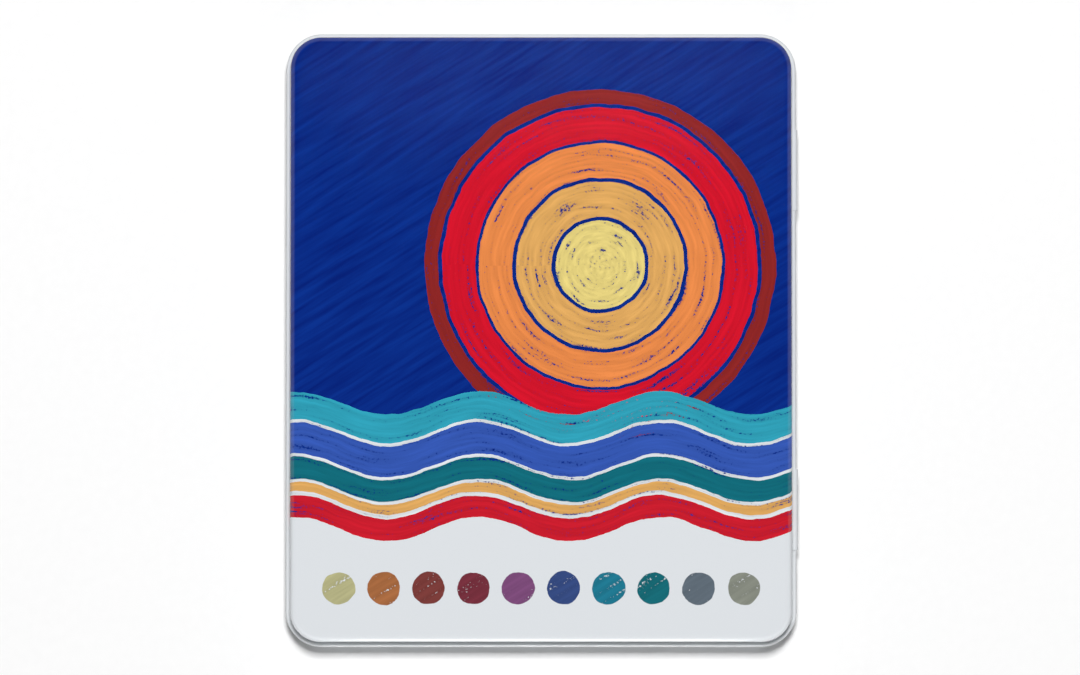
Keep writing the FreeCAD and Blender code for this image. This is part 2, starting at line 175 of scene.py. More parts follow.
def pressed_sheet_form():
    # The section is swept round the rounded plan, a flat panel closes it outside and inside, and two
    # windows are punched through the right wall. A mark on each face says which finish it takes
    tree, given = new_form("pressed sheet", {
        "Panel width": "Float", "Panel depth": "Float", "Panel corner": "Float", "Corner steps": "Int",
        "Outer level": "Vector", "Inner level": "Vector", "Window size": "Vector",
        "Window first": "Vector", "Window second": "Vector", "Outside": "Material", "Inside": "Material"})
    plan = add_node(tree, "GeometryNodeCurvePrimitiveQuadrilateral",
                    {"Width": given["Panel width"], "Height": given["Panel depth"]})
    path = add_node(tree, "GeometryNodeFilletCurve",
                    {"Curve": plan, "Radius": given["Panel corner"], "Count": given["Corner steps"]},
                    mode="POLY")
    section = add_node(tree, "GeometryNodeMeshToCurve", {"Mesh": given["Mesh"]})
    wall = add_node(tree, "GeometryNodeCurveToMesh", {"Curve": path, "Profile Curve": section})
    share = add_node(tree, "GeometryNodeInputNamedAttribute", {"Name": "printed"}, data_type="FLOAT")
    inked = add_node(tree, "FunctionNodeCompare", {"A": share, "B": INKED_SHARE}, operation="GREATER_THAN")
    panel = add_node(tree, "GeometryNodeFillCurve", {"Curve": path}, mode="NGONS")
    faces_up = add_node(tree, "FunctionNodeCompare",
                        {"A": given["Outer level"], "B": given["Inner level"]},
                        data_type="VECTOR", mode="LENGTH", operation="GREATER_THAN")
    faces_down = add_node(tree, "FunctionNodeBooleanMath", {0: faces_up}, operation="NOT")
    outer = add_node(tree, "GeometryNodeSetPosition", {"Geometry": panel, "Offset": given["Outer level"]})
    outer = add_node(tree, "GeometryNodeFlipFaces", {"Mesh": outer, "Selection": faces_down})
    inner = add_node(tree, "GeometryNodeSetPosition", {"Geometry": panel, "Offset": given["Inner level"]})
    inner = add_node(tree, "GeometryNodeFlipFaces", {"Mesh": inner, "Selection": faces_up})
    sheet = add_node(tree, "GeometryNodeJoinGeometry")
    for part, marked in ((wall, inked), (outer, True), (inner, False)):
        part = add_node(tree, "GeometryNodeStoreNamedAttribute",
                        {"Geometry": part, "Name": "outside", "Value": marked},
                        data_type="BOOLEAN", domain="FACE")
        part = add_node(tree, "GeometryNodeSetMaterial", {"Geometry": part, "Material": given["Inside"]})
        tree.links.new(part.outputs[0], sheet.inputs[0])
    sheet = add_node(tree, "GeometryNodeMergeByDistance", {"Geometry": sheet, "Distance": WELD * MM})
    punch = add_node(tree, "GeometryNodeMeshCube", {"Size": given["Window size"]})
    places = add_node(tree, "GeometryNodeMeshLine",
                      {"Count": 2, "Start Location": given["Window first"], "Offset": given["Window second"]},
                      mode="END_POINTS")
    punches = add_node(tree, "GeometryNodeInstanceOnPoints", {"Points": places, "Instance": punch})
    punches = add_node(tree, "GeometryNodeRealizeInstances", {"Geometry": punches})
    punches = add_node(tree, "GeometryNodeSetMaterial", {"Geometry": punches, "Material": given["Inside"]})
    sheet = add_node(tree, "GeometryNodeMeshBoolean", {"Mesh 1": sheet, "Mesh 2": punches},
                     operation="DIFFERENCE", solver="EXACT")
    outside = add_node(tree, "GeometryNodeInputNamedAttribute", {"Name": "outside"}, data_type="BOOLEAN")
    end_form(tree, sheet, outside, given["Outside"], SHEET_CREASE)
    return tree


def press(name, section, printed, window, outside):
    # The section starts and ends at the edge of the flat panel, on its outside and its inside
    panel = section[0][0]
    face, length, low, high = window
    across = CORNER_X + face - SHEET / 2
    middle = (low + high) / 2
    return form_piece(name, section_mesh(name + "_section", section, panel, printed), pressed_sheet, {
        "Panel width": 2 * (CORNER_X + panel) * MM, "Panel depth": 2 * (CORNER_Y + panel) * MM,
        "Panel corner": panel * MM, "Corner steps": CORNER_STEPS,
        "Outer level": metres(0, 0, section[0][1]), "Inner level": metres(0, 0, section[-1][1]),
        "Window size": metres(SHEET + 2 * PUNCH_REACH, length, high - low),
        "Window first": metres(across, -HINGE_Y, middle), "Window second": metres(across, HINGE_Y, middle),
        "Outside": outside, "Inside": enamel})


# Stove enamel on tinplate, rolled on: a hard glossy white with a cool cast. Its orange peel is drawn
# at 3 mm, coarser than it is, so that it shows
enamel, nodes = new_material("white_stove_enamel_on_tinplate")
place = add_node(nodes, "ShaderNodeTexCoord").outputs["Object"]
cast = add_node(nodes, "ShaderNodeTexNoise", {"Vector": place, "Scale": 1 / (18 * MM), "Detail": 3.0})
colour = add_node(nodes, "ShaderNodeMix", {"Factor": cast, "A": linear("#DFE3E6"), "B": linear("#E4E7EA")},
                  data_type="RGBA")
rubbed = add_node(nodes, "ShaderNodeTexNoise", {"Vector": place, "Scale": 1 / (9 * MM), "Detail": 3.0})
sheen = add_node(nodes, "ShaderNodeMapRange",
                 {"Value": rubbed, "From Min": 0.3, "From Max": 0.7, "To Min": 0.22, "To Max": 0.27})
peel = add_node(nodes, "ShaderNodeTexNoise", {"Vector": place, "Scale": 1 / (3 * MM), "Detail": 0.0})
relief = add_node(nodes, "ShaderNodeBump", {"Height": peel, "Strength": 0.1, "Distance": 0.01 * MM})
shader = add_node(nodes, "ShaderNodeBsdfPrincipled",
                  {"Base Color": colour, "Roughness": sheen, "Normal": relief, "IOR": 1.5})
add_node(nodes, "ShaderNodeOutputMaterial", {"Surface": shader})

WALL = -base_low[0] - CORNER_X
WALL_INNER = WALL - SHEET
FLOOR_R = 1.2
FLOOR_BEND = (WALL - FLOOR_R, FLOOR_R)
FLOOR_RISE = 0.6
FOOT_WIDTH = 3.2
STEP = WALL - FOOT_WIDTH
STEP_R = 0.2
HEM = (WALL_INNER, base_high[2] - SHEET)
HEM_DEPTH = 1.6
HEM_END = HEM[1] - HEM_DEPTH
HEM_EDGE_R = 0.06
HINGE_LENGTH = 16.5
HINGE_INSET = 26.35
HINGE_Y = base_high[1] - HINGE_INSET
KNUCKLE_R = base_high[0] - HINGE_X
KNUCKLE_BORE = KNUCKLE_R - SHEET
KNUCKLE_TURN = 240
TONGUE_BEND = 0.2
TONGUE_ROOT = HINGE_Z - KNUCKLE_R - TONGUE_BEND
TONGUE_REACH = 2.6
TONGUE_TOP = HINGE_Z + TONGUE_REACH
SLIT = 0.2
base_panel = STEP - STEP_R - HOLD
base_section = [
    (base_panel, FLOOR_RISE),
    *arc((STEP - STEP_R, FLOOR_RISE - STEP_R), STEP_R, 90, 0, 4),
    *arc((STEP + STEP_R, STEP_R), STEP_R, 180, 270, 4),
    (STEP + STEP_R + HOLD, 0),
    (FLOOR_BEND[0] - HOLD, 0),
    *arc(FLOOR_BEND, FLOOR_R, 270, 360, 10),
    (WALL, FLOOR_R + HOLD),
    (WALL, HEM[1] - HOLD),
    *arc(HEM, SHEET, 0, 180, 8),
    (WALL_INNER - SHEET, HEM[1] - HOLD),
    *arc((WALL_INNER - SHEET + HEM_EDGE_R, HEM_END + HEM_EDGE_R), HEM_EDGE_R, 180, 270, 3),
    (WALL_INNER, HEM_END),
    (WALL_INNER, HEM_END - HOLD),
    (WALL_INNER, FLOOR_R + HOLD),
    *arc(FLOOR_BEND, FLOOR_R - SHEET, 0, -90, 10),
    (FLOOR_BEND[0] - HOLD, SHEET),
    (STEP + SHEET + STEP_R + HOLD, SHEET),
    *arc((STEP + SHEET + STEP_R, SHEET + STEP_R), STEP_R, 270, 180, 4),
    *arc((STEP + SHEET - STEP_R, FLOOR_RISE + SHEET - STEP_R), STEP_R, 0, 90, 4),
    (base_panel, FLOOR_RISE + SHEET)]
pressed_sheet = pressed_sheet_form()
tin_base = press("tin_base_shell", base_section, 0,
                 (WALL, HINGE_LENGTH + 2 * SLIT, TONGUE_ROOT, TONGUE_TOP), enamel)

# A knuckle's section is drawn about the hinge's axis
tongue = (CORNER_X + WALL - HINGE_X + TONGUE_BEND, TONGUE_ROOT - HINGE_Z)
knuckle_section = [
    *arc(tongue, TONGUE_BEND, 180, 90, 5),
    (tongue[0] / 2, -KNUCKLE_R),
    *arc((0, 0), KNUCKLE_R, 270, 270 + KNUCKLE_TURN, 22),
    *arc((0, 0), KNUCKLE_BORE, 270 + KNUCKLE_TURN, 270, 20),
    (tongue[0] / 2, -KNUCKLE_BORE),
    *arc(tongue, TONGUE_BEND + SHEET, 90, 180, 6)]
rolled_strip, given = new_form("rolled strip", {
    "Length": "Float", "First": "Vector", "Second": "Vector", "Finish": "Material"})
half = add_node(rolled_strip, "ShaderNodeMath", {0: given["Length"], 1: 0.5}, operation="MULTIPLY")
back = add_node(rolled_strip, "ShaderNodeMath", {0: half, 1: -1.0}, operation="MULTIPLY")
line = add_node(rolled_strip, "GeometryNodeCurvePrimitiveLine", {
    "Start": add_node(rolled_strip, "ShaderNodeCombineXYZ", {"Y": back}),
    "End": add_node(rolled_strip, "ShaderNodeCombineXYZ", {"Y": half})})
section = add_node(rolled_strip, "GeometryNodeMeshToCurve", {"Mesh": given["Mesh"]})
strip = add_node(rolled_strip, "GeometryNodeCurveToMesh",
                 {"Curve": line, "Profile Curve": section, "Fill Caps": True})
spots = add_node(rolled_strip, "GeometryNodeMeshLine",
                 {"Count": 2, "Start Location": given["First"], "Offset": given["Second"]}, mode="END_POINTS")
strips = add_node(rolled_strip, "GeometryNodeInstanceOnPoints", {"Points": spots, "Instance": strip})
end_form(rolled_strip, strips, True, given["Finish"], SHEET_CREASE)
strip_edge = section_mesh("knuckle_section", knuckle_section, closed=True)
knuckles = form_piece("hinge_knuckles", strip_edge, rolled_strip, {
    "Length": HINGE_LENGTH * MM, "First": metres(HINGE_X, -HINGE_Y, HINGE_Z),
    "Second": metres(HINGE_X, HINGE_Y, HINGE_Z), "Finish": enamel})
for piece in (tin_base, knuckles):
    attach(piece, "base")
    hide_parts("tin_base")

# Tray: one sheet of white polystyrene, 0.5 mm thick, drawn down warm over a mould with ten round grooves
# and a trough at the crayons' tips, so every edge is softly rounded. It lies loose on the base's panel.
tray_low, tray_high = box_mm("crayon_tray")
wax_low, wax_high = box_mm("crayon_gold_core")
paper_low, paper_high = box_mm("crayon_gold_wrapper")
slide = joint_of("crayon_gold_slide")["range_m"][1] / MM
GROOVES = 10
FIRST_X = (wax_low[0] + wax_high[0]) / 2
AXIS_Z = (wax_low[2] + wax_high[2]) / 2
PITCH = -2 * FIRST_X / (GROOVES - 1)
CRAYON_R = (paper_high[0] - paper_low[0]) / 2
GROOVE_PLAY = 0.25
GROOVE_R = CRAYON_R + GROOVE_PLAY
GROOVE_LIP = 0.02
LAND_Z = tray_high[2]
FOOT_Z = tray_low[2]
RIDGE_DROP = 2.2
RIDGE_Z = AXIS_Z - RIDGE_DROP
RIDGE_SOFT = 0.35
TRAY_SHEET = 0.5
TROUGH_SHEET = 0.4
TROUGH_Z = FOOT_Z + TROUGH_SHEET
TROUGH_LAP = 0.4
TROUGH_Y = paper_high[1] - TROUGH_LAP
TROUGH_RUN = 0.75
SIDE_PLAY = 0.06
SIDE_X = CRAYON_R - FIRST_X + SIDE_PLAY
BUTT_PLAY = 0.2
BUTT_END = BUTT_PLAY - wax_low[1]
TIP_PLAY = 0.15
TIP_END = wax_high[1] + slide + TIP_PLAY
WALL_RUN = 0.6
TRAY_R = tray_high[0] - CORNER_X
ROLL_R = 0.5


def ease(value, start, run):
    share = np.clip((value - start) / run, 0, 1)
    return share * share * (3 - 2 * share)


def soft_least(a, b, width):
    share = np.clip(width - np.abs(a - b), 0, None) / width
    return np.minimum(a, b) - share * share * width / 4


def tray_height(x, y):
    groove = np.clip(np.round((x - FIRST_X) / PITCH), 0, GROOVES - 1)
    across = np.clip(np.abs(x - FIRST_X - groove * PITCH), 0, GROOVE_R - GROOVE_LIP)
    hollow = AXIS_Z - np.sqrt(GROOVE_R ** 2 - across ** 2)
    row = np.abs(x) <= abs(FIRST_X)
    bed = np.where(row, soft_least(hollow, RIDGE_Z, RIDGE_SOFT), hollow)
    bed = bed + (TROUGH_Z - bed) * ease(y, TROUGH_Y, TROUGH_RUN)
    open_bay = np.ones_like(x)
    for distance, end in ((np.abs(x), SIDE_X), (-y, BUTT_END), (y, TIP_END)):
        open_bay = open_bay * (1 - ease(distance, end, WALL_RUN))
    return LAND_Z + (bed - LAND_Z) * open_bay


# Grid lines lie close where the sheet bends: at the ridges, the trough, the walls and the rolled edge
edge_steps = [0.3, 0.6, *np.arange(0.85, 3.9, 0.15), 4.2, TRAY_R - ROLL_R]
roll_steps = [TRAY_R - ROLL_R + ROLL_R * math.radians(a) for a in (15, 30, 45, 60, 75, 90)]
drop_steps = [roll_steps[-1] + d for d in (0.4, 2.5, LAND_Z - ROLL_R - FOOT_Z)]
outer_steps = np.array([*edge_steps, *roll_steps, *drop_steps])
half_groove = np.array([0.8, 1.6, 2.4, 3.1, 3.6, 3.9, 4.1, 4.25, 4.4])
groove_steps = np.array([-PITCH / 2, *-half_groove[::-1], 0, *half_groove])
across_lines = (FIRST_X + PITCH * np.arange(GROOVES)[:, None] + groove_steps[None, :]).ravel()
across_lines = across_lines[np.abs(across_lines) < CORNER_X - 0.1]
trough_bend = TROUGH_Y + np.linspace(-0.05, TROUGH_RUN, 9)
long_lines = [-55, -50, -38, -25, -12, 0, 12, 25, 35, 38.8, *trough_bend, 40.6, 44, 48, 52]
grid_x, grid_y = np.meshgrid(*[
    np.concatenate([-edge - outer_steps[::-1], [-edge], lines, [edge], edge + outer_steps])
    for edge, lines in ((CORNER_X, across_lines), (CORNER_Y, long_lines))])
core_x = np.clip(grid_x, -CORNER_X, CORNER_X)
core_y = np.clip(grid_y, -CORNER_Y, CORNER_Y)
out_x = grid_x - core_x
out_y = grid_y - core_y
reach = np.maximum(np.abs(out_x), np.abs(out_y))
length = np.maximum(np.hypot(out_x, out_y), WELD)
turn = np.clip((reach - TRAY_R + ROLL_R) / ROLL_R, 0, math.pi / 2)
spread = np.minimum(reach, TRAY_R - ROLL_R) + ROLL_R * np.sin(turn)
drop = ROLL_R * (1 - np.cos(turn)) + np.clip(reach - roll_steps[-1], 0, None)
tray_x = core_x + out_x / length * spread
tray_y = core_y + out_y / length * spread
tray_z = tray_height(tray_x, tray_y) - drop
rows, columns = tray_x.shape
points = np.stack([tray_x, tray_y, tray_z], axis=-1).reshape(-1, 3) * MM
faces = [(r * columns + c, r * columns + c + 1, (r + 1) * columns + c + 1, (r + 1) * columns + c)
         for r in range(rows - 1) for c in range(columns - 1)]
tray_mesh = bpy.data.meshes.new("tray_form")
tray_mesh.from_pydata(points.tolist(), [], faces)
crayon_tray = bpy.data.objects.new("crayon_tray_form", tray_mesh)
bpy.context.scene.collection.objects.link(crayon_tray)
sheet = crayon_tray.modifiers.new("sheet", "SOLIDIFY")
sheet.thickness = TRAY_SHEET * MM
sheet.offset = -1.0
view = bpy.context.evaluated_depsgraph_get()
tray_mesh = bpy.data.meshes.new_from_object(crayon_tray.evaluated_get(view), depsgraph=view)
crayon_tray.modifiers.clear()
crayon_tray.data = tray_mesh
# The lowest parts of the sheet lie flat on the base's panel
for vertex in tray_mesh.vertices:
    vertex.co.z = max(vertex.co.z, FOOT_Z * MM)
for face in tray_mesh.polygons:
    face.use_smooth = True

# Polystyrene sheet, vacuum formed: satin white, a little milky, with the fine haze of the mould
styrene, nodes = new_material("white_polystyrene_vacuum_formed")
place = add_node(nodes, "ShaderNodeTexCoord").outputs["Object"]
cloud = add_node(nodes, "ShaderNodeTexNoise", {"Vector": place, "Scale": 1 / (12 * MM), "Detail": 4.0})
colour = add_node(nodes, "ShaderNodeMix", {"Factor": cloud, "A": linear("#DEDDD6"), "B": linear("#EAE9E4")},
                  data_type="RGBA")
haze = add_node(nodes, "ShaderNodeTexNoise", {"Vector": place, "Scale": 1 / (0.7 * MM), "Detail": 4.0})
sheen = add_node(nodes, "ShaderNodeMapRange", {"Value": haze, "To Min": 0.28, "To Max": 0.46})
relief = add_node(nodes, "ShaderNodeBump", {"Height": haze, "Strength": 0.3, "Distance": 0.01 * MM})
shader = add_node(nodes, "ShaderNodeBsdfPrincipled",
                  {"Base Color": colour, "Roughness": sheen, "Normal": relief, "IOR": 1.59})
add_node(nodes, "ShaderNodeOutputMaterial", {"Surface": shader})
tray_mesh.materials.append(styrene)
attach(crayon_tray, "base")
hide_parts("crayon_tray")

# Crayons: ten sticks of pigmented wax with pearl pigment, cast round and cut at the tip to eight flats.
# Each lies loose in its groove with its tip over the trough.
BUTT_Y = wax_low[1]
WAX_R = (wax_high[0] - wax_low[0]) / 2
TIP_LENGTH = 11.4
BODY_LENGTH = wax_high[1] - wax_low[1] - TIP_LENGTH
TIP_FLAT = 1.3
TIP_FLATS = 8
EDGE_SOFT = 0.08
END_ROUND = 0.35
STICK_CREASE = 50
STICK_SIDES = 96
BUTT_RINGS = 6
BODY_RINGS = 6
TIP_RINGS = 52
# Each colour's wax and paper, from left to right
CRAYONS = {
    "gold": ("#B4B184", "#CECAA3"), "copper": ("#A5683F", "#BF8E62"), "russet": ("#7A3B38", "#9A544E"),
    "crimson": ("#752F3C", "#AA5761"), "purple": ("#7B4A78", "#A079A3"), "indigo": ("#354A80", "#6271A0"),
    "turquoise": ("#1E768E", "#499BB0"), "teal": ("#146873", "#3B8792"), "slate": ("#5F6B76", "#89959F"),
    "silver": ("#878B80", "#ABB2B5")}
cut_stick, given = new_form("cut stick", {
    "Radius": "Float", "Body": "Float", "Tip": "Float", "Tip flat": "Float", "Flats": "Int",
    "Softness": "Float", "End round": "Float", "Place": "Vector", "Wax": "Material"})
# A rod of unit size is drawn out: its first rings round the butt, the next run along the body, the rest
# shape the tip, where the nearest flats set the radius and meet the round stick in soft edges
rings = BUTT_RINGS + BODY_RINGS + TIP_RINGS
butt_end = BUTT_RINGS / rings
body_end = (BUTT_RINGS + BODY_RINGS) / rings
rod = add_node(cut_stick, "GeometryNodeMeshCylinder",
               {"Vertices": STICK_SIDES, "Side Segments": rings, "Radius": 1.0, "Depth": 1.0},
               fill_type="NGON")
here = add_node(cut_stick, "ShaderNodeSeparateXYZ", {0: add_node(cut_stick, "GeometryNodeInputPosition")})
share = add_node(cut_stick, "ShaderNodeMath", {0: here.outputs["Z"], 1: 0.5}, operation="ADD")
angle = add_node(cut_stick, "ShaderNodeMath", {0: here.outputs["Y"], 1: here.outputs["X"]},
                 operation="ARCTAN2")
straight = add_node(cut_stick, "ShaderNodeMath", {0: given["Body"], 1: given["End round"]},
                    operation="SUBTRACT")
butt_part = add_node(cut_stick, "ShaderNodeMapRange", {
    "Value": share, "From Max": butt_end, "To Max": given["End round"]})
body_part = add_node(cut_stick, "ShaderNodeMapRange", {
    "Value": share, "From Min": butt_end, "From Max": body_end, "To Max": straight})
tip_share = add_node(cut_stick, "ShaderNodeMapRange", {"Value": share, "From Min": body_end})
along = add_node(cut_stick, "ShaderNodeMath", {0: body_part, 1: butt_part}, operation="ADD")
along = add_node(cut_stick, "ShaderNodeMath", {0: tip_share, 1: given["Tip"], 2: along},
                 operation="MULTIPLY_ADD")
depth = add_node(cut_stick, "ShaderNodeMapRange", {
    "Value": tip_share, "To Min": given["Radius"], "To Max": given["Tip flat"]})
sector = add_node(cut_stick, "ShaderNodeMath", {0: math.pi, 1: given["Flats"]}, operation="DIVIDE")
other = add_node(cut_stick, "ShaderNodeMath", {0: sector, 1: -1.0}, operation="MULTIPLY")
swing = add_node(cut_stick, "ShaderNodeMath", {0: angle, 1: sector, 2: other}, operation="WRAP")
swing = add_node(cut_stick, "ShaderNodeMath", {0: swing}, operation="ABSOLUTE")
beside = add_node(cut_stick, "ShaderNodeMath", {0: sector, 1: 2.0}, operation="MULTIPLY")
beside = add_node(cut_stick, "ShaderNodeMath", {0: beside, 1: swing}, operation="SUBTRACT")
flat = add_node(cut_stick, "ShaderNodeMath", {
    0: depth, 1: add_node(cut_stick, "ShaderNodeMath", {0: swing}, operation="COSINE")}, operation="DIVIDE")
next_flat = add_node(cut_stick, "ShaderNodeMath", {
    0: depth, 1: add_node(cut_stick, "ShaderNodeMath", {0: beside}, operation="COSINE")}, operation="DIVIDE")
radius = add_node(cut_stick, "ShaderNodeMath", {0: flat, 1: next_flat, 2: given["Softness"]},
                  operation="SMOOTH_MIN")
radius = add_node(cut_stick, "ShaderNodeMath",
                  {0: radius, 1: given["Radius"], 2: given["Softness"]}, operation="SMOOTH_MIN")
total = add_node(cut_stick, "ShaderNodeMath", {0: given["Body"], 1: given["Tip"]}, operation="ADD")
to_tip = add_node(cut_stick, "ShaderNodeMath", {0: total, 1: along}, operation="SUBTRACT")
to_end = add_node(cut_stick, "ShaderNodeMath", {0: to_tip, 1: along}, operation="MINIMUM")
short = add_node(cut_stick, "ShaderNodeMath", {0: given["End round"], 1: to_end}, operation="SUBTRACT")
short = add_node(cut_stick, "ShaderNodeMath", {0: short, 1: 0.0}, operation="MAXIMUM")
short = add_node(cut_stick, "ShaderNodeMath", {0: short, 1: 2.0}, operation="POWER")
square = add_node(cut_stick, "ShaderNodeMath", {0: given["End round"], 1: 2.0}, operation="POWER")
kept = add_node(cut_stick, "ShaderNodeMath", {
    0: add_node(cut_stick, "ShaderNodeMath", {0: square, 1: short}, operation="SUBTRACT")}, operation="SQRT")
lost = add_node(cut_stick, "ShaderNodeMath", {0: given["End round"], 1: kept}, operation="SUBTRACT")
radius = add_node(cut_stick, "ShaderNodeMath", {0: radius, 1: lost}, operation="SUBTRACT")
cosine = add_node(cut_stick, "ShaderNodeMath", {0: angle}, operation="COSINE")
sine = add_node(cut_stick, "ShaderNodeMath", {0: angle}, operation="SINE")
spot = add_node(cut_stick, "ShaderNodeCombineXYZ", {
    "X": add_node(cut_stick, "ShaderNodeMath", {0: radius, 1: cosine}, operation="MULTIPLY"),
    "Y": add_node(cut_stick, "ShaderNodeMath", {0: radius, 1: sine}, operation="MULTIPLY"), "Z": along})
stick = add_node(cut_stick, "GeometryNodeSetPosition", {"Geometry": rod, "Position": spot})
stick = add_node(cut_stick, "GeometryNodeTransform",
                 {"Geometry": stick, "Rotation": (-math.pi / 2, 0, 0), "Translation": given["Place"]})
end_form(cut_stick, stick, True, given["Wax"], STICK_CREASE)

for number, (colour_name, (wax_code, paper_code)) in enumerate(CRAYONS.items()):
    # Hard wax with pearl pigment, cast and cut: a soft lustre, cloudy swirls and fine flecks of the pigment,
    # whose brightness is a painted glint; the flecks are drawn at 0.25 mm, several times their real size, so
    # that they show
    wax, nodes = new_material(f"{colour_name}_pearl_wax_cast")
    place = add_node(nodes, "ShaderNodeTexCoord").outputs["Object"]
    swirl = add_node(nodes, "ShaderNodeTexNoise",
                     {"Vector": place, "Scale": 1 / (4 * MM), "Detail": 5.0, "Distortion": 0.6})
    deep = [c * 0.74 for c in linear(wax_code)[:3]] + [1.0]
    light = [min(c * 1.18, 1.0) for c in linear(wax_code)[:3]] + [1.0]
    colour = add_node(nodes, "ShaderNodeMix", {"Factor": swirl, "A": deep, "B": light}, data_type="RGBA")
    fleck = add_node(nodes, "ShaderNodeTexVoronoi", {"Vector": place, "Scale": 1 / (0.25 * MM)})
    # Painted glint: the pigment's flakes are real, and their pale colour stands in for light glinting off
    # them
    bright = add_node(nodes, "ShaderNodeMapRange",
                      {"Value": fleck.outputs["Distance"], "From Max": 0.35, "To Min": 0.4, "To Max": 0.0})
    pearl = [min(c * 2.2 + 0.08, 1.0) for c in light[:3]] + [1.0]
    colour = add_node(nodes, "ShaderNodeMix", {"Factor": bright, "A": colour, "B": pearl}, data_type="RGBA")
    bloom = add_node(nodes, "ShaderNodeTexNoise", {"Vector": place, "Scale": 1 / (1.2 * MM), "Detail": 6.0})
    sheen = add_node(nodes, "ShaderNodeMapRange", {"Value": bloom, "To Min": 0.28, "To Max": 0.4})
    relief = add_node(nodes, "ShaderNodeBump", {"Height": bloom, "Strength": 0.2, "Distance": 0.03 * MM})
    shader = add_node(nodes, "ShaderNodeBsdfPrincipled",
                      {"Base Color": colour, "Roughness": sheen, "Normal": relief, "Metallic": 0.4,
                       "IOR": 1.44})
    add_node(nodes, "ShaderNodeOutputMaterial", {"Surface": shader})
    core = form_piece(f"crayon_{colour_name}_wax", bpy.data.meshes.new("stick"), cut_stick, {
        "Radius": WAX_R * MM, "Body": BODY_LENGTH * MM, "Tip": TIP_LENGTH * MM, "Tip flat": TIP_FLAT * MM,
        "Flats": TIP_FLATS, "Softness": EDGE_SOFT * MM, "End round": END_ROUND * MM,
        "Place": metres(FIRST_X + PITCH * number, BUTT_Y, AXIS_Z), "Wax": wax})
    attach(core, f"crayon_{colour_name}")
    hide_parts(f"crayon_{colour_name}_core")

# Wrappers: a label of coated metallic paper rolled once round each stick and glued along a lap,
# flush with the butt and ending short of the tip. Each lap lies at another angle, as the sticks roll.
PAPER = 0.2
PAPER_EDGE_R = 0.06
PAPER_LAP = 0.07
PAPER_HOLD = 2.0
PAPER_SIDES = 120
LAP_TURN = 137
PAPER_INNER = CRAYON_R - PAPER
PAPER_END = paper_high[1]
paper_section = [
    (PAPER_INNER, BUTT_Y),
    (PAPER_INNER, BUTT_Y + PAPER_HOLD),
    (PAPER_INNER, PAPER_END - PAPER_HOLD),
    (PAPER_INNER, PAPER_END),
    *arc((CRAYON_R - PAPER_EDGE_R, PAPER_END - PAPER_EDGE_R), PAPER_EDGE_R, 90, 0, 3),
    (CRAYON_R, PAPER_END - PAPER_HOLD),
    (CRAYON_R, BUTT_Y + PAPER_HOLD),
    *arc((CRAYON_R - PAPER_EDGE_R, BUTT_Y + PAPER_EDGE_R), PAPER_EDGE_R, 0, -90, 3)]
# The outer face draws in evenly round the roll and steps out again where the paper's end laps its start
rolled_label, given = new_form("rolled label", {
    "Bore": "Float", "Lap": "Float", "Lap angle": "Float", "Middle": "Float", "Sides": "Int",
    "Place": "Vector", "Paper": "Material"})
ring = add_node(rolled_label, "GeometryNodeCurvePrimitiveCircle",
                {"Resolution": given["Sides"], "Radius": given["Bore"]})
section = add_node(rolled_label, "GeometryNodeMeshToCurve", {"Mesh": given["Mesh"]})
tube = add_node(rolled_label, "GeometryNodeCurveToMesh", {"Curve": ring, "Profile Curve": section})
here = add_node(rolled_label, "GeometryNodeInputPosition")
across = add_node(rolled_label, "ShaderNodeVectorMath", {0: here, 1: (1, 1, 0)}, operation="MULTIPLY")
size = add_node(rolled_label, "ShaderNodeVectorMath", {0: across}, operation="LENGTH")
outside = add_node(rolled_label, "FunctionNodeCompare",
                   {"A": size.outputs["Value"], "B": given["Middle"]}, operation="GREATER_THAN")
parts = add_node(rolled_label, "ShaderNodeSeparateXYZ", {0: here})
angle = add_node(rolled_label, "ShaderNodeMath", {0: parts.outputs["Y"], 1: parts.outputs["X"]},
                 operation="ARCTAN2")
angle = add_node(rolled_label, "ShaderNodeMath", {0: angle, 1: given["Lap angle"]}, operation="SUBTRACT")
round_share = add_node(rolled_label, "ShaderNodeMath", {0: angle, 1: 1 / math.tau}, operation="MULTIPLY")
round_share = add_node(rolled_label, "ShaderNodeMath", {0: round_share}, operation="FRACT")
inset = add_node(rolled_label, "ShaderNodeMath", {0: round_share, 1: given["Lap"]}, operation="MULTIPLY")
inset = add_node(rolled_label, "ShaderNodeMath", {0: inset, 1: -1.0}, operation="MULTIPLY")
aim = add_node(rolled_label, "ShaderNodeVectorMath", {0: across}, operation="NORMALIZE")
shift = add_node(rolled_label, "ShaderNodeVectorMath", {0: aim, "Scale": inset}, operation="SCALE")
tube = add_node(rolled_label, "GeometryNodeSetPosition",
                {"Geometry": tube, "Selection": outside, "Offset": shift})
tube = add_node(rolled_label, "GeometryNodeTransform",
                {"Geometry": tube, "Rotation": (-math.pi / 2, 0, 0), "Translation": given["Place"]})
end_form(rolled_label, tube, True, given["Paper"], STICK_CREASE)

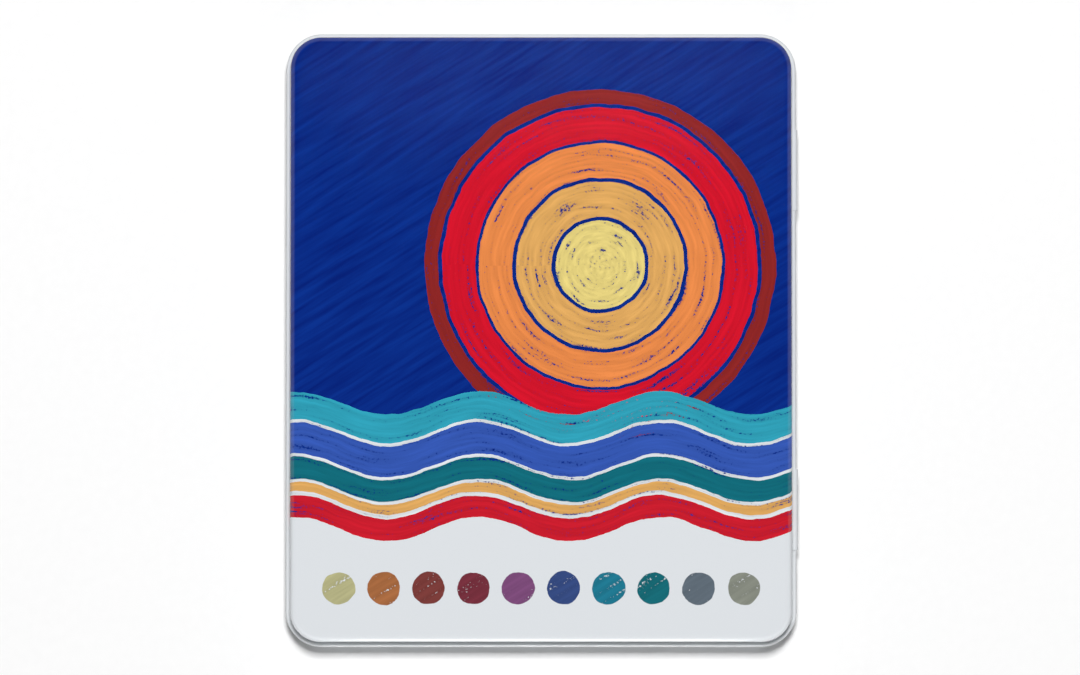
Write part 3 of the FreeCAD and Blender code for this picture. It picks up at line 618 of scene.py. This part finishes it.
for number, (colour_name, (wax_code, paper_code)) in enumerate(CRAYONS.items()):
    # Coated paper printed with metallic ink: satin lustre, faint streaks along the roll and paper fibre;
    # the fibre is drawn at 0.3 mm, coarser than it is, so that it shows
    paper, nodes = new_material(f"{colour_name}_metallic_ink_on_coated_paper")
    place = add_node(nodes, "ShaderNodeTexCoord").outputs["Object"]
    drawn = add_node(nodes, "ShaderNodeMapping",
                     {"Vector": place, "Scale": (1 / (0.6 * MM), 1 / (25 * MM), 1 / (0.6 * MM))})
    streak = add_node(nodes, "ShaderNodeTexNoise", {"Vector": drawn, "Scale": 1.0, "Detail": 3.0})
    deep = [c * 0.86 for c in linear(paper_code)[:3]] + [1.0]
    light = [min(c * 1.1, 1.0) for c in linear(paper_code)[:3]] + [1.0]
    colour = add_node(nodes, "ShaderNodeMix", {"Factor": streak, "A": deep, "B": light}, data_type="RGBA")
    fibre = add_node(nodes, "ShaderNodeTexNoise", {"Vector": place, "Scale": 1 / (0.3 * MM), "Detail": 5.0})
    sheen = add_node(nodes, "ShaderNodeMapRange", {"Value": fibre, "To Min": 0.28, "To Max": 0.4})
    relief = add_node(nodes, "ShaderNodeBump", {"Height": fibre, "Strength": 0.25, "Distance": 0.02 * MM})
    shader = add_node(nodes, "ShaderNodeBsdfPrincipled",
                      {"Base Color": colour, "Roughness": sheen, "Normal": relief, "Metallic": 0.6,
                       "IOR": 1.5})
    add_node(nodes, "ShaderNodeOutputMaterial", {"Surface": shader})
    roll = section_mesh("paper_section", paper_section, PAPER_INNER, closed=True)
    wrapper = form_piece(f"crayon_{colour_name}_label", roll, rolled_label, {
        "Bore": PAPER_INNER * MM, "Lap": PAPER_LAP * MM, "Middle": (PAPER_INNER + PAPER / 2) * MM,
        "Lap angle": math.radians(number * LAP_TURN % 360), "Sides": PAPER_SIDES,
        "Place": metres(FIRST_X + PITCH * number, 0, AXIS_Z), "Paper": paper})
    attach(wrapper, f"crayon_{colour_name}")
    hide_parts(f"crayon_{colour_name}_wrapper")

# Lid: one pressing of the same tinplate, printed and varnished outside and enamelled white inside.
# Its skirt ends in a bead curled outwards, which turns in the base's knuckles through two windows.
LID_TOP = lid_high[2]
BEAD_R = 0.65
BEAD_END = 180 + 292
BEAD = (HINGE_X - CORNER_X, HINGE_Z)
SKIRT = BEAD[0] - BEAD_R + SHEET
SKIRT_INNER = SKIRT - SHEET
SHOULDER_R = 1.2
SHOULDER = (SKIRT - SHOULDER_R, LID_TOP - SHOULDER_R)
WINDOW_PLAY = 0.35
lid_panel = SHOULDER[0] - HOLD
lid_printed = [
    (lid_panel, LID_TOP),
    *arc(SHOULDER, SHOULDER_R, 90, 0, 12),
    (SKIRT, SHOULDER[1] - HOLD),
    (SKIRT, HINGE_Z + HOLD),
    *arc(BEAD, BEAD_R - SHEET, 180, BEAD_END, 18)]
lid_white = [
    *arc(BEAD, BEAD_R, BEAD_END, 180, 26),
    (SKIRT_INNER, HINGE_Z + HOLD),
    (SKIRT_INNER, SHOULDER[1] - HOLD),
    *arc(SHOULDER, SHOULDER_R - SHEET, 0, 90, 10),
    (lid_panel, LID_TOP - SHEET)]

# Lithographed tinplate: flat inks on white enamel under gloss varnish. The print is of drawn wax marks:
# rings, waves and a row of dabs, with the broken grain of wax on toothed paper. It is drawn in
# millimetres on the flat sheet, so it runs on over the shoulder and down the skirt
RING_X = 12.0
RING_Y = 15.0
RING_REACH = 40.0
# Inks by their inner radius in the rings and by their upper edge in the waves; None leaves the ground bare
RINGS = [(0.0, "#E6D27F"), (9.0, None), (9.7, "#E0A95F"), (17.0, None), (17.7, "#E98A4A"), (24.6, None),
         (25.3, "#D3122A"), (32.0, None), (32.7, "#8F2524"), (35.6, None)]
WAVE_TOP = -8.0
WAVE_END = -62.0
WAVES = [(-8.0, None), (-13.0, "#2FA0B8"), (-18.6, "#DDE2E6"), (-19.3, "#3558B4"), (-25.6, "#DDE2E6"),
         (-26.3, "#0F6C7B"), (-30.6, "#DDE2E6"), (-31.3, "#E0A95F"), (-33.3, "#DDE2E6"), (-34.0, "#CB1B2D"),
         (-38.6, "#DDE2E6")]
WAVE_LENGTH = 37.0
WAVE_HEIGHT = 2.4
WAVE_START = 0.6
WHITE_EDGE = WAVES[-1][0]
DAB_Y = -50.6
DAB_R = 3.3
DAB_EDGE = 0.05
GRAIN_SHARE = 0.7
GRAIN = 0.55
WOBBLE = 1.1
WOBBLE_LENGTH = 5.0
HATCH_TURN = 32
HATCH_LENGTH = 16.0
HATCH_WIDTH = 1.1
LINES_PER_MM = 1.1
RING_LINES_PER_RADIAN = 1.6
WAVE_LINE_LENGTH = 14.0
printed, nodes = new_material("lithographed_tinplate_gloss_varnished")
coordinate = add_node(nodes, "ShaderNodeTexCoord").outputs
place = coordinate["Object"]
height = add_node(nodes, "ShaderNodeSeparateXYZ", {0: place}).outputs["Z"]
drawn_down = add_node(nodes, "ShaderNodeMath", {0: LID_TOP * MM, 1: height}, operation="SUBTRACT")
unfolded = add_node(nodes, "ShaderNodeVectorMath", {0: coordinate["Normal"], "Scale": drawn_down},
                    operation="SCALE")
unfolded = add_node(nodes, "ShaderNodeVectorMath", {0: place, 1: unfolded}, operation="ADD")
plan = add_node(nodes, "ShaderNodeVectorMath", {0: unfolded, 1: (1 / MM, 1 / MM, 0)}, operation="MULTIPLY")
wobble = add_node(nodes, "ShaderNodeTexNoise", {"Vector": plan, "Scale": 1 / WOBBLE_LENGTH, "Detail": 3.0})
wobble = add_node(nodes, "ShaderNodeVectorMath", {0: wobble.outputs["Color"], 1: (0.5, 0.5, 0.5)},
                  operation="SUBTRACT")
drawn = add_node(nodes, "ShaderNodeVectorMath", {0: wobble, 1: (WOBBLE, WOBBLE, 0), 2: plan},
                 operation="MULTIPLY_ADD")
split = add_node(nodes, "ShaderNodeSeparateXYZ", {0: drawn})
grain = add_node(nodes, "ShaderNodeTexNoise",
                 {"Vector": plan, "Scale": 1 / GRAIN, "Detail": 4.0, "Roughness": 0.65})
strokes = add_node(nodes, "ShaderNodeMapping",
                   {"Vector": plan, "Rotation": (0, 0, math.radians(HATCH_TURN)),
                    "Scale": (HATCH_LENGTH, HATCH_WIDTH, 1)}, vector_type="TEXTURE")
hatch = add_node(nodes, "ShaderNodeTexNoise", {"Vector": strokes, "Scale": 1.0, "Detail": 4.0})
field = add_node(nodes, "ShaderNodeMapRange", {"Value": hatch, "From Min": 0.3, "From Max": 0.7})
colour = add_node(nodes, "ShaderNodeMix", {"Factor": field, "A": linear("#001E76"), "B": linear("#05318F")},
                  data_type="RGBA")
from_ring = add_node(nodes, "ShaderNodeVectorMath", {0: drawn, 1: (RING_X, RING_Y, 0)}, operation="SUBTRACT")
ring_split = add_node(nodes, "ShaderNodeSeparateXYZ", {0: from_ring})
ring_r = add_node(nodes, "ShaderNodeVectorMath", {0: from_ring}, operation="LENGTH").outputs["Value"]
ring_turn = add_node(nodes, "ShaderNodeMath", {0: ring_split.outputs["Y"], 1: ring_split.outputs["X"]},
                     operation="ARCTAN2")
ring_share = add_node(nodes, "ShaderNodeMath", {0: ring_r, 1: RING_REACH}, operation="DIVIDE")
swell = add_node(nodes, "ShaderNodeMath", {0: split.outputs["X"], 1: math.tau / WAVE_LENGTH, 2: WAVE_START},
                 operation="MULTIPLY_ADD")
swell = add_node(nodes, "ShaderNodeMath", {0: swell}, operation="SINE")
wave_y = add_node(nodes, "ShaderNodeMath", {0: swell, 1: WAVE_HEIGHT, 2: split.outputs["Y"]},
                  operation="MULTIPLY_ADD")
wave_share = add_node(nodes, "ShaderNodeMapRange",
                      {"Value": wave_y, "From Min": WAVE_TOP, "From Max": WAVE_END})
wave_pace = 1 / WAVE_LINE_LENGTH
ring_lines = add_node(nodes, "ShaderNodeCombineXYZ", {
    "X": add_node(nodes, "ShaderNodeMath", {0: ring_turn, 1: RING_LINES_PER_RADIAN}, operation="MULTIPLY"),
    "Y": add_node(nodes, "ShaderNodeMath", {0: ring_r, 1: LINES_PER_MM}, operation="MULTIPLY")})
wave_lines = add_node(nodes, "ShaderNodeCombineXYZ", {
    "X": add_node(nodes, "ShaderNodeMath", {0: split.outputs["X"], 1: wave_pace}, operation="MULTIPLY"),
    "Y": add_node(nodes, "ShaderNodeMath", {0: wave_y, 1: LINES_PER_MM}, operation="MULTIPLY")})
for stops, share, reach, lines in (
        (RINGS, ring_share, RING_REACH, ring_lines), (WAVES, wave_share, WAVE_END - WAVE_TOP, wave_lines)):
    start = stops[0][0]
    inks = add_node(nodes, "ShaderNodeValToRGB", {"Fac": share})
    inks.color_ramp.interpolation = "CONSTANT"
    while len(inks.color_ramp.elements) < len(stops):
        inks.color_ramp.elements.new(1.0)
    for element, (level, code) in zip(inks.color_ramp.elements, stops):
        element.position = (level - start) / reach
        element.color = linear(code) if code else (0, 0, 0, 0)
    streak = add_node(nodes, "ShaderNodeTexNoise", {"Vector": lines, "Scale": 1.0, "Detail": 4.0})
    shade = add_node(nodes, "ShaderNodeMapRange",
                     {"Value": streak, "From Min": 0.3, "From Max": 0.7, "To Min": 0.8, "To Max": 1.12})
    ink = add_node(nodes, "ShaderNodeVectorMath", {0: inks.outputs["Color"], "Scale": shade},
                   operation="SCALE")
    rough = add_node(nodes, "ShaderNodeMath", {0: grain, 1: GRAIN_SHARE, 2: streak}, operation="MULTIPLY_ADD")
    laid = add_node(nodes, "ShaderNodeMapRange", {"Value": rough, "From Min": 0.64, "From Max": 0.72})
    cover = add_node(nodes, "ShaderNodeMath", {0: laid, 1: inks.outputs["Alpha"]}, operation="MULTIPLY")
    colour = add_node(nodes, "ShaderNodeMix", {"Factor": cover, "A": colour, "B": ink}, data_type="RGBA")
bare = add_node(nodes, "ShaderNodeMath", {0: wave_y, 1: WHITE_EDGE}, operation="LESS_THAN")
colour = add_node(nodes, "ShaderNodeMix", {"Factor": bare, "A": colour, "B": linear("#DFE3E7")},
                  data_type="RGBA")
row_half = GROOVES * PITCH / 2
dab_share = add_node(nodes, "ShaderNodeMapRange",
                     {"Value": split.outputs["X"], "From Min": -row_half, "From Max": row_half})
dabs = add_node(nodes, "ShaderNodeValToRGB", {"Fac": dab_share})
dabs.color_ramp.interpolation = "CONSTANT"
while len(dabs.color_ramp.elements) < GROOVES:
    dabs.color_ramp.elements.new(1.0)
for number, (element, (wax_code, paper_code)) in enumerate(zip(dabs.color_ramp.elements, CRAYONS.values())):
    element.position = number / GROOVES
    element.color = linear(wax_code)
dab_x = add_node(nodes, "ShaderNodeMath", {0: split.outputs["X"], 1: PITCH, 2: 0.0}, operation="WRAP")
dab_x = add_node(nodes, "ShaderNodeMath", {0: dab_x, 1: PITCH / 2}, operation="SUBTRACT")
dab_y = add_node(nodes, "ShaderNodeMath", {0: split.outputs["Y"], 1: DAB_Y}, operation="SUBTRACT")
from_dab = add_node(nodes, "ShaderNodeCombineXYZ", {"X": dab_x, "Y": dab_y})
dab_r = add_node(nodes, "ShaderNodeVectorMath", {0: from_dab}, operation="LENGTH").outputs["Value"]
inside = add_node(nodes, "ShaderNodeMapRange",
                  {"Value": dab_r, "From Min": DAB_R - DAB_EDGE, "From Max": DAB_R + DAB_EDGE,
                   "To Min": 1.0, "To Max": 0.0})
row = add_node(nodes, "ShaderNodeMath", {0: split.outputs["X"]}, operation="ABSOLUTE")
row = add_node(nodes, "ShaderNodeMath", {0: row, 1: row_half}, operation="LESS_THAN")
rough = add_node(nodes, "ShaderNodeMath", {0: grain, 1: GRAIN_SHARE, 2: hatch}, operation="MULTIPLY_ADD")
laid = add_node(nodes, "ShaderNodeMapRange", {"Value": rough, "From Min": 0.6, "From Max": 0.68})
inside = add_node(nodes, "ShaderNodeMath", {0: inside, 1: row}, operation="MULTIPLY")
inside = add_node(nodes, "ShaderNodeMath", {0: inside, 1: laid}, operation="MULTIPLY")
shade = add_node(nodes, "ShaderNodeMapRange",
                 {"Value": hatch, "From Min": 0.3, "From Max": 0.7, "To Min": 0.84, "To Max": 1.16})
ink = add_node(nodes, "ShaderNodeVectorMath", {0: dabs, "Scale": shade}, operation="SCALE")
colour = add_node(nodes, "ShaderNodeMix", {"Factor": inside, "A": colour, "B": ink}, data_type="RGBA")
rubbed = add_node(nodes, "ShaderNodeTexNoise", {"Vector": plan, "Scale": 1 / 7.0, "Detail": 6.0})
sheen = add_node(nodes, "ShaderNodeMapRange",
                 {"Value": rubbed, "From Min": 0.3, "From Max": 0.7, "To Min": 0.08, "To Max": 0.13})
peel = add_node(nodes, "ShaderNodeTexNoise", {"Vector": place, "Scale": 1 / (1.1 * MM), "Detail": 2.0})
relief = add_node(nodes, "ShaderNodeBump", {"Height": peel, "Strength": 0.1, "Distance": 0.005 * MM})
shader = add_node(nodes, "ShaderNodeBsdfPrincipled",
                  {"Base Color": colour, "Roughness": sheen, "Normal": relief, "IOR": 1.5})
add_node(nodes, "ShaderNodeOutputMaterial", {"Surface": shader})
tin_lid = press("tin_lid_shell", lid_printed + lid_white, len(lid_printed),
                (SKIRT, HINGE_LENGTH + 2 * WINDOW_PLAY, HINGE_Z, HINGE_Z + KNUCKLE_R + WINDOW_PLAY), printed)
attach(tin_lid, "lid")
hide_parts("tin_lid")

# Floor: a plain sheet of matt white board that the closed tin lies on, larger than any view of it.
# It reads as white where nothing shades it, keeps the tin's shadow, and is greyer to bounced light, so
# that what it throws back doesn't fill that shadow.
FLOOR_HALF = 3.0
FLOOR_Z = -0.02 * MM
FLOOR_LIFT = 0.025


def seen_rays(tree):
    # One for what the camera sees, straight, mirrored or through glass, and nought for light on things
    path = add_node(tree, "ShaderNodeLightPath").outputs
    seen = add_node(tree, "ShaderNodeMath", {0: path["Is Camera Ray"], 1: path["Is Glossy Ray"]},
                    operation="MAXIMUM")
    return add_node(tree, "ShaderNodeMath", {0: seen, 1: path["Is Transmission Ray"]}, operation="MAXIMUM")


board, nodes = new_material("matt_white_board")
place = add_node(nodes, "ShaderNodeTexCoord").outputs["Object"]
tooth = add_node(nodes, "ShaderNodeTexNoise", {"Vector": place, "Scale": 1 / (2 * MM), "Detail": 3.0})
colour = add_node(nodes, "ShaderNodeMix", {"Factor": tooth, "A": linear("#F6F6F6"), "B": linear("#FAFAFA")},
                  data_type="RGBA")
bounced = add_node(nodes, "ShaderNodeLightPath").outputs["Is Diffuse Ray"]
colour = add_node(nodes, "ShaderNodeMix", {"Factor": bounced, "A": colour, "B": linear("#B4B4B4")},
                  data_type="RGBA")
matt = add_node(nodes, "ShaderNodeBsdfDiffuse", {"Color": colour, "Roughness": 0.5})
lift = add_node(nodes, "ShaderNodeMath", {0: seen_rays(nodes), 1: FLOOR_LIFT}, operation="MULTIPLY")
glow = add_node(nodes, "ShaderNodeEmission", {"Color": linear("#FFFFFF"), "Strength": lift})
shader = add_node(nodes, "ShaderNodeAddShader", {0: matt, 1: glow})
add_node(nodes, "ShaderNodeOutputMaterial", {"Surface": shader})
floor_mesh = bpy.data.meshes.new("floor")
corners = [(x * FLOOR_HALF, y * FLOOR_HALF, FLOOR_Z) for x, y in ((-1, -1), (1, -1), (1, 1), (-1, 1))]
floor_mesh.from_pydata(corners, [], [(0, 1, 2, 3)])
floor_mesh.materials.append(board)
floor = bpy.data.objects.new("floor", floor_mesh)
bpy.context.scene.collection.objects.link(floor)

# Studio: one soft lamp beyond the top edge of the tin, a weak low lamp in front of it, and a room that is
# bright near the horizon and dim overhead. The key lamp doesn't show in reflections, where its image would
# wash out the print. The camera hangs over the tin, tipped a little from in front.
ROOM_LIGHT = 0.07
ROOM_DIM = 0.06
DIM_FROM = 0.68
DIM_TO = 0.94
# Each lamp has its place and size in metres and its power in watts
LAMPS = (("key_lamp", (0.01, 0.24, 1.17), 0.2, 13.2), ("front_lamp", (0.0, -0.84, 0.09), 0.15, 3.4))
CAMERA_AIM = Vector(metres(-0.21, 0.5, 6.4))
CAMERA_AWAY = 1.2
CAMERA_TIP = math.radians(2.4)
CAMERA_LENS = 196.2


def hang(name, data, place, target):
    item = bpy.data.objects.new(name, data)
    bpy.context.scene.collection.objects.link(item)
    item.location = place
    item.rotation_euler = (target - place).to_track_quat("-Z", "Y").to_euler()
    return item


for name, place, size, power in LAMPS:
    lamp = bpy.data.lights.new(name, "AREA")
    lamp.size = size
    lamp.energy = power
    hung = hang(name, lamp, Vector(place), Vector((0, 0, 0)))
    hung.visible_glossy = name != "key_lamp"
world = bpy.data.worlds.new("studio_room")
bpy.context.scene.world = world
world.use_nodes = True
nodes = world.node_tree
nodes.nodes.clear()
way = add_node(nodes, "ShaderNodeTexCoord").outputs["Generated"]
height = add_node(nodes, "ShaderNodeSeparateXYZ", {0: way}).outputs["Z"]
level = add_node(nodes, "ShaderNodeMapRange",
                 {"Value": height, "From Min": DIM_FROM, "From Max": DIM_TO,
                  "To Min": 1.0, "To Max": ROOM_DIM})
level = add_node(nodes, "ShaderNodeMix", {"Factor": seen_rays(nodes), "A": ROOM_LIGHT, "B": level},
                 data_type="FLOAT")
room = add_node(nodes, "ShaderNodeBackground", {"Color": linear("#FFFFFF"), "Strength": level})
add_node(nodes, "ShaderNodeOutputWorld", {"Surface": room})
bpy.context.scene.view_settings.view_transform = "Standard"

lens = bpy.data.cameras.new("camera")
lens.sensor_width = 36.0
lens.lens = CAMERA_LENS
above = Vector((0, -math.sin(CAMERA_TIP), math.cos(CAMERA_TIP)))
bpy.context.scene.camera = hang("camera", lens, CAMERA_AIM + CAMERA_AWAY * above, CAMERA_AIM)
